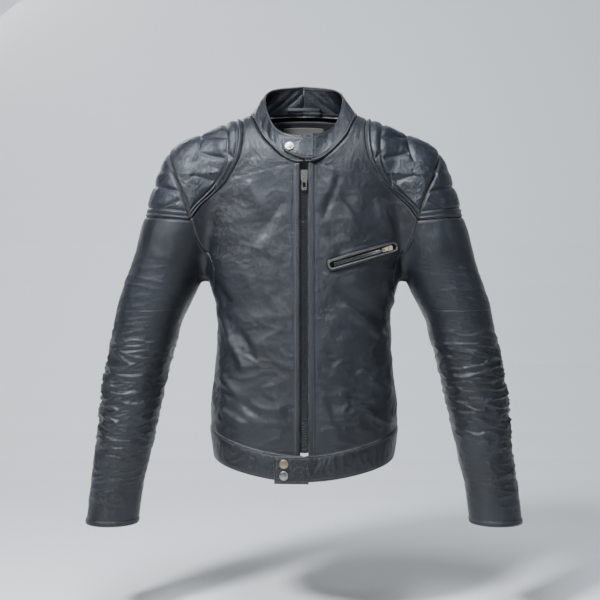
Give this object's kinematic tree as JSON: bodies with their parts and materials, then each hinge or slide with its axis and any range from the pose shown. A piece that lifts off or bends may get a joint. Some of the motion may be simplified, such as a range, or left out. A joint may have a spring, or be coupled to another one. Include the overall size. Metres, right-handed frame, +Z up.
{
  "type": "leather riding jacket",
  "caption": "Zipped leather riding jacket: band collar and waistband with snapped tabs, quilted shoulders, slanted chest pocket, and sleeves that bend at the elbow.",
  "frame": {"origin": "middle of the neck opening at the high point of the shoulders, where the shoulder seams meet the collar", "axes": "+Z up, -Y towards the viewer of the front, +X towards the wearer's left"},
  "size_m": [0.7518, 0.2516, 0.7672],
  "materials": {
    "hide": "worn black cowhide, soft sheen",
    "quilted_hide": "worn black cowhide, quilted over foam",
    "lining": "black satin weave",
    "zip_tape": "black woven tape",
    "teeth": "dark oxidised metal",
    "nickel": "worn nickel plate",
    "brass": "aged brass"
  },
  "bodies": {
    "root": {"back_yoke": "hide", "back_panel": "hide", "yoke_lining": "lining", "back_lining": "lining", "waistband_back": "hide", "hanger_loop": "hide", "neck_patch": "hide", "collar_snap_stud": "nickel", "pocket_welt": "hide", "pocket_tape": "zip_tape", "pocket_teeth": "brass", "pocket_bag": "lining", "front_left_panel": "hide", "shoulder_left_quilt": "quilted_hide", "front_left_lining": "lining", "collar_left": "hide", "waistband_left": "hide", "front_right_panel": "hide", "shoulder_right_quilt": "quilted_hide", "front_right_lining": "lining", "collar_right": "hide", "waistband_right": "hide"},
    "front_left": {"placket_left": "hide", "zip_facing_left": "hide", "zip_tape_left": "zip_tape", "zip_teeth_left": "teeth", "waistband_left_front": "hide", "collar_left_front": "hide", "zip_pin": "teeth"},
    "front_right": {"placket_right": "hide", "zip_facing_right": "hide", "zip_tape_right": "zip_tape", "zip_teeth_right": "teeth", "waistband_right_front": "hide", "collar_right_front": "hide", "zip_box": "teeth", "waist_snap_stud_upper": "nickel", "waist_snap_stud_lower": "nickel"},
    "collar_tab": {"collar_tab": "hide", "collar_snap_cap": "nickel", "collar_snap_socket": "nickel"},
    "waist_tab": {"waist_tab": "hide", "waist_snap_cap_upper": "nickel", "waist_snap_socket_upper": "nickel", "waist_snap_cap_lower": "nickel", "waist_snap_socket_lower": "nickel"},
    "zip_slider": {"zip_slider": "nickel"},
    "zip_pull": {"zip_pull": "nickel"},
    "pocket_slider": {"pocket_slider": "brass"},
    "pocket_pull": {"pocket_pull": "brass"},
    "sleeve_left_upper": {"sleeve_left_quilt": "quilted_hide", "sleeve_left_upper": "hide", "sleeve_left_upper_lining": "lining"},
    "sleeve_left_lower": {"sleeve_left_lower": "hide", "sleeve_left_lower_lining": "lining"},
    "sleeve_right_upper": {"sleeve_right_quilt": "quilted_hide", "sleeve_right_upper": "hide", "sleeve_right_upper_lining": "lining"},
    "sleeve_right_lower": {"sleeve_right_lower": "hide", "sleeve_right_lower_lining": "lining"}
  },
  "joints": [
    {"name": "front_left_open", "type": "hinge", "parent": "root", "child": "front_left", "pos_m": [0.02248, -0.09092, -0.09176], "axis": [-0.0858, 0.056, 0.9947], "range_deg": [0, 100]},
    {"name": "front_right_open", "type": "hinge", "parent": "root", "child": "front_right", "pos_m": [-0.02248, -0.09092, -0.09176], "axis": [-0.0858, -0.056, -0.9947], "range_deg": [0, 100]},
    {"name": "main_zip_slide", "type": "slide", "parent": "front_right", "child": "zip_slider", "axis": [0, -0.0699, -0.9976], "range_m": [0, 0.44]},
    {"name": "main_pull_swing", "type": "hinge", "parent": "zip_slider", "child": "zip_pull", "pos_m": [0, -0.09232, -0.11732], "axis": [-1, 0, 0], "range_deg": [0, 140]},
    {"name": "collar_tab_open", "type": "hinge", "parent": "front_left", "child": "collar_tab", "pos_m": [0.012, -0.08595, -0.06481], "axis": [0, 0.3345, 0.9424], "range_deg": [0, 75]},
    {"name": "waist_tab_open", "type": "hinge", "parent": "front_left", "child": "waist_tab", "pos_m": [0.00605, -0.12982, -0.60108], "axis": [0, 0.0699, 0.9976], "range_deg": [0, 120]},
    {"name": "pocket_zip_slide", "type": "hinge", "parent": "root", "child": "pocket_slider", "pos_m": [0.0344, 0.10832, -0.26736], "axis": [0.2857, 0, -0.9583], "range_deg": [0, 25.5]},
    {"name": "pocket_pull_swing", "type": "hinge", "parent": "pocket_slider", "child": "pocket_pull", "pos_m": [0.14441, -0.06742, -0.23457], "axis": [-0.2857, 0, 0.9583], "range_deg": [0, 150]},
    {"name": "sleeve_left_raise", "type": "hinge", "parent": "root", "child": "sleeve_left_upper", "pos_m": [0.235, 0, -0.06379], "axis": [0, -1, 0], "range_deg": [0, 50]},
    {"name": "elbow_left_bend", "type": "hinge", "parent": "sleeve_left_upper", "child": "sleeve_left_lower", "pos_m": [0.28127, -0.06769, -0.40499], "axis": [-1, 0, 0], "range_deg": [0, 90]},
    {"name": "sleeve_right_raise", "type": "hinge", "parent": "root", "child": "sleeve_right_upper", "pos_m": [-0.235, 0, -0.06379], "axis": [0, 1, 0], "range_deg": [0, 50]},
    {"name": "elbow_right_bend", "type": "hinge", "parent": "sleeve_right_upper", "child": "sleeve_right_lower", "pos_m": [-0.28127, -0.06769, -0.40499], "axis": [-1, 0, 0], "range_deg": [0, 90]}
  ],
  "couplings": [
    {"joint": "front_right_open", "follows": "front_left_open", "ratio": 1},
    {"joint": "main_zip_slide", "follows": "front_left_open", "m_per_rad": 0.252}
  ]
}
